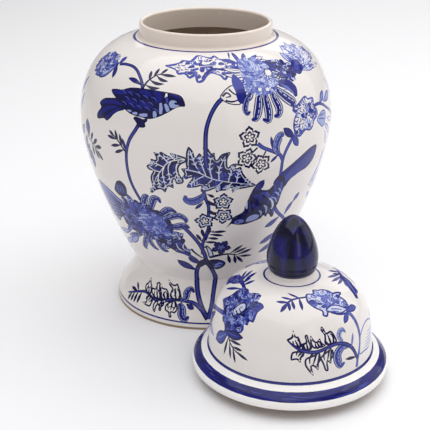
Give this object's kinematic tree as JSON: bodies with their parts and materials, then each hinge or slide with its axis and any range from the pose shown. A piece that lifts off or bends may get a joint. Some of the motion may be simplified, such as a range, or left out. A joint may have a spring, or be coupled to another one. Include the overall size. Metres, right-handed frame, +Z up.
{
  "type": "ginger jar",
  "caption": "Tall round porcelain jar on a flared foot, with a domed lid and an egg-shaped knob; the lid stands beside the jar.",
  "frame": {"origin": "centre of the foot, on the surface the jar stands on", "axes": "+Z up along the jar's axis, +X to the right and -Y towards the viewer; the lid stands to the front and right"},
  "size_m": [0.3121, 0.4098, 0.31],
  "materials": {
    "porcelain_glaze": "gloss",
    "interior_glaze": "satin",
    "cobalt_glaze": "gloss"
  },
  "bodies": {
    "jar": {"jar_foot": "porcelain_glaze", "jar_floor": "interior_glaze", "jar_body": "porcelain_glaze", "jar_shoulder": "porcelain_glaze", "jar_neck": "porcelain_glaze"},
    "lid": {"lid_dome": "porcelain_glaze", "lid_brim": "porcelain_glaze", "lid_locating_ring": "porcelain_glaze", "finial_collar": "porcelain_glaze", "finial_knob": "cobalt_glaze"}
  },
  "joints": [
    {"name": "lid_lift", "type": "slide", "parent": "jar", "child": "lid", "axis": [0.207, -0.455, 0.8661], "range_m": [0, 0.38]}
  ]
}
